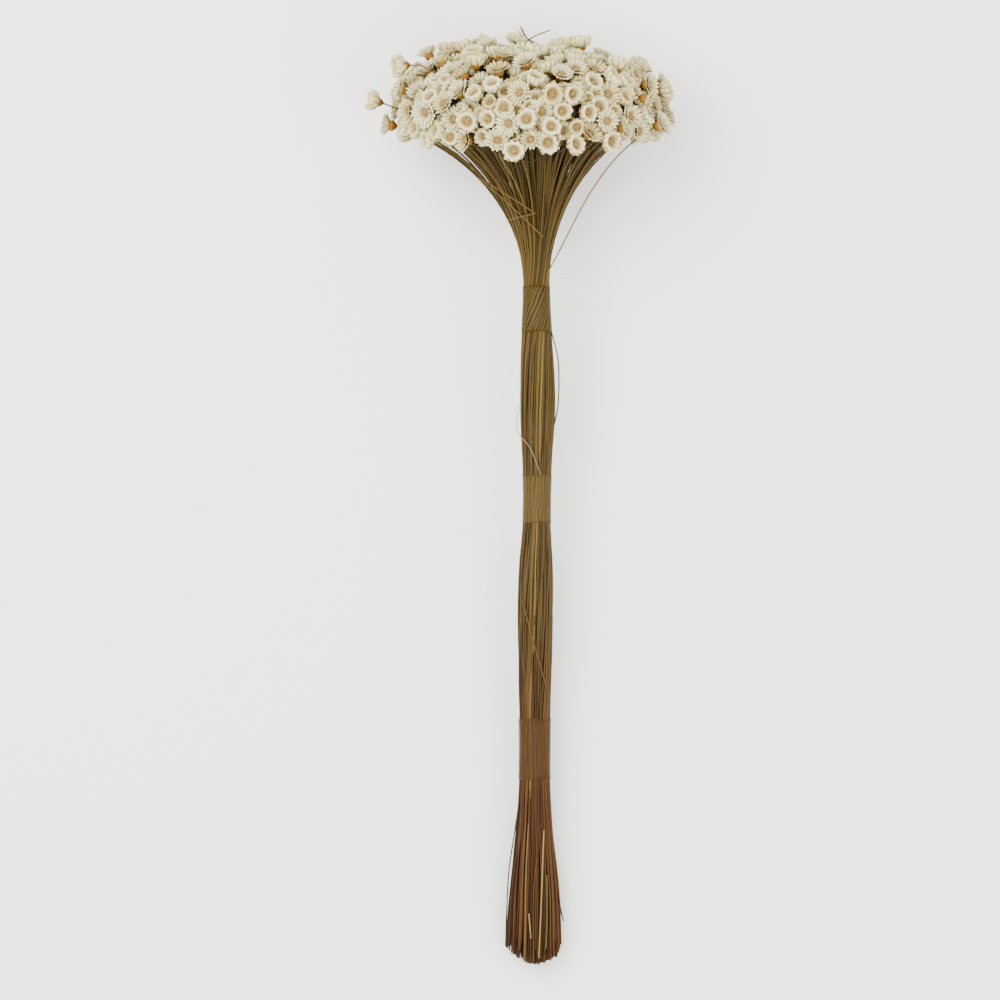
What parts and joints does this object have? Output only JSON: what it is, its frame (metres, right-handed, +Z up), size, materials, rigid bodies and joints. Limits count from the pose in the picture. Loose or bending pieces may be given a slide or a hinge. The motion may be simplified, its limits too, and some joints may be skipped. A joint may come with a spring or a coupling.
{
  "type": "dried everlasting flower bunch",
  "caption": "Tied bunch of small dried everlasting flowers with ivory papery heads on long slim olive-brown stems, bound with clear tape and lying on its side.",
  "frame": {"origin": "middle of the bounding box's underside, on the surface that the bunch lies on", "axes": "+Y along the bunch from the cut stem ends to the flower heads, +Z up off the surface, +X to the right seen from above with the heads at the top"},
  "size_m": [0.1814, 0.5506, 0.1336],
  "materials": {
    "dried_plant": "matte, dry and papery",
    "clear_tape": "thin, clear and glossy"
  },
  "bodies": {
    "root": {"flower_spray_01": "dried_plant", "flower_spray_02": "dried_plant", "flower_spray_03": "dried_plant", "flower_spray_04": "dried_plant", "flower_spray_05": "dried_plant", "flower_spray_06": "dried_plant", "flower_spray_07": "dried_plant", "flower_spray_08": "dried_plant", "flower_spray_09": "dried_plant", "flower_spray_10": "dried_plant", "flower_spray_11": "dried_plant", "flower_spray_12": "dried_plant", "flower_spray_13": "dried_plant", "flower_spray_14": "dried_plant", "flower_spray_15": "dried_plant", "flower_spray_16": "dried_plant", "flower_spray_17": "dried_plant", "flower_spray_18": "dried_plant", "flower_spray_19": "dried_plant", "flower_spray_20": "dried_plant", "flower_spray_21": "dried_plant", "flower_spray_22": "dried_plant", "flower_spray_23": "dried_plant", "flower_spray_24": "dried_plant", "tape_band_upper": "clear_tape", "tape_band_middle": "clear_tape", "tape_band_lower": "clear_tape"}
  },
  "joints": []
}
